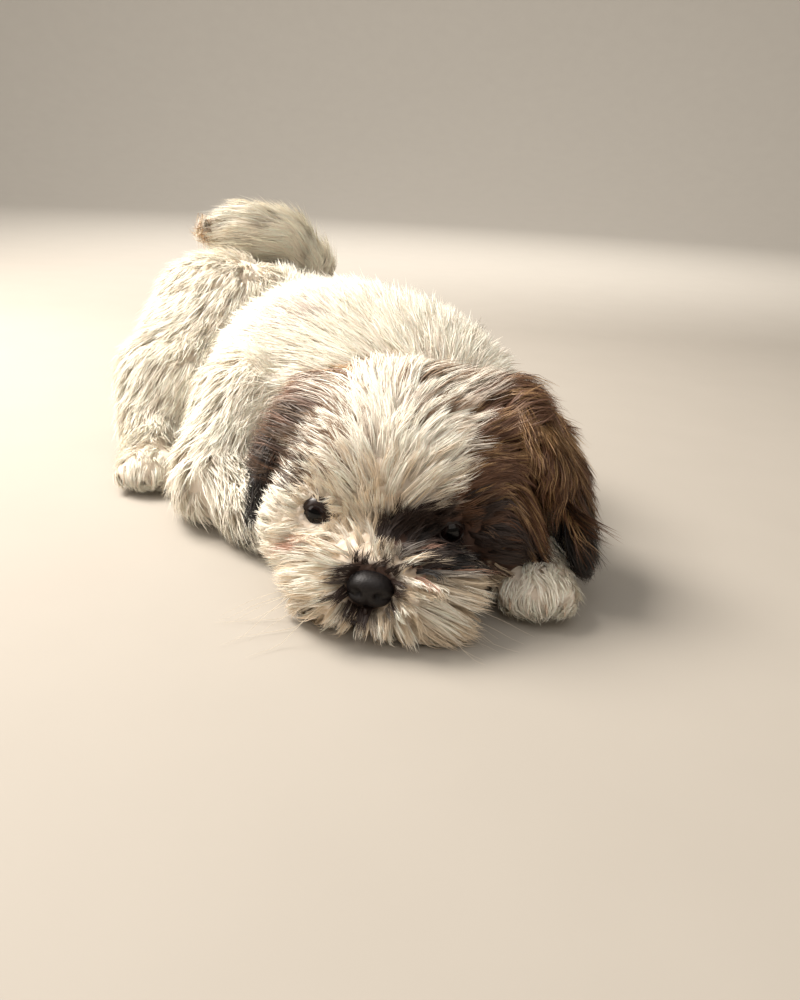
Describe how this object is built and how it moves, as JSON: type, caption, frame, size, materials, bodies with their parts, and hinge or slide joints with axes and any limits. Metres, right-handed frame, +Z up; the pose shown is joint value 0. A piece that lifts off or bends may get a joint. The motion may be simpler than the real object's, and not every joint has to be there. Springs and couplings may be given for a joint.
{
  "type": "lying shih tzu puppy model",
  "caption": "Still life-size model of a long-coated toy-breed puppy lying flat with its chin on the floor between its forepaws, ears hanging and tail carried over the back.",
  "frame": {"origin": "bottom centre of the bounding box, on the floor under the puppy", "axes": "+X is the dog's left, -Y the way its head points, +Z up; its spine runs back along +Y and turns a little to -X"},
  "size_m": [0.234, 0.3074, 0.1291],
  "materials": {
    "white_coat": "soft cream-white hair in overlapping locks",
    "brown_coat": "soft dark brown hair, tan at the root of the ear and black at its tip",
    "eye": "wet, very dark brown",
    "nose_leather": "fine pebbled black, slightly moist"
  },
  "bodies": {
    "root": {"head": "white_coat", "lower_jaw": "white_coat", "neck": "white_coat", "torso": "white_coat", "tail": "white_coat", "front_right_leg": "white_coat", "front_left_leg": "white_coat", "front_right_paw": "white_coat", "front_left_paw": "white_coat", "hind_right_leg": "white_coat", "hind_left_leg": "white_coat", "hind_right_paw": "white_coat", "hind_left_paw": "white_coat", "ear_right": "brown_coat", "ear_left": "brown_coat", "eye_right": "eye", "eye_left": "eye", "nose": "nose_leather"}
  },
  "joints": []
}
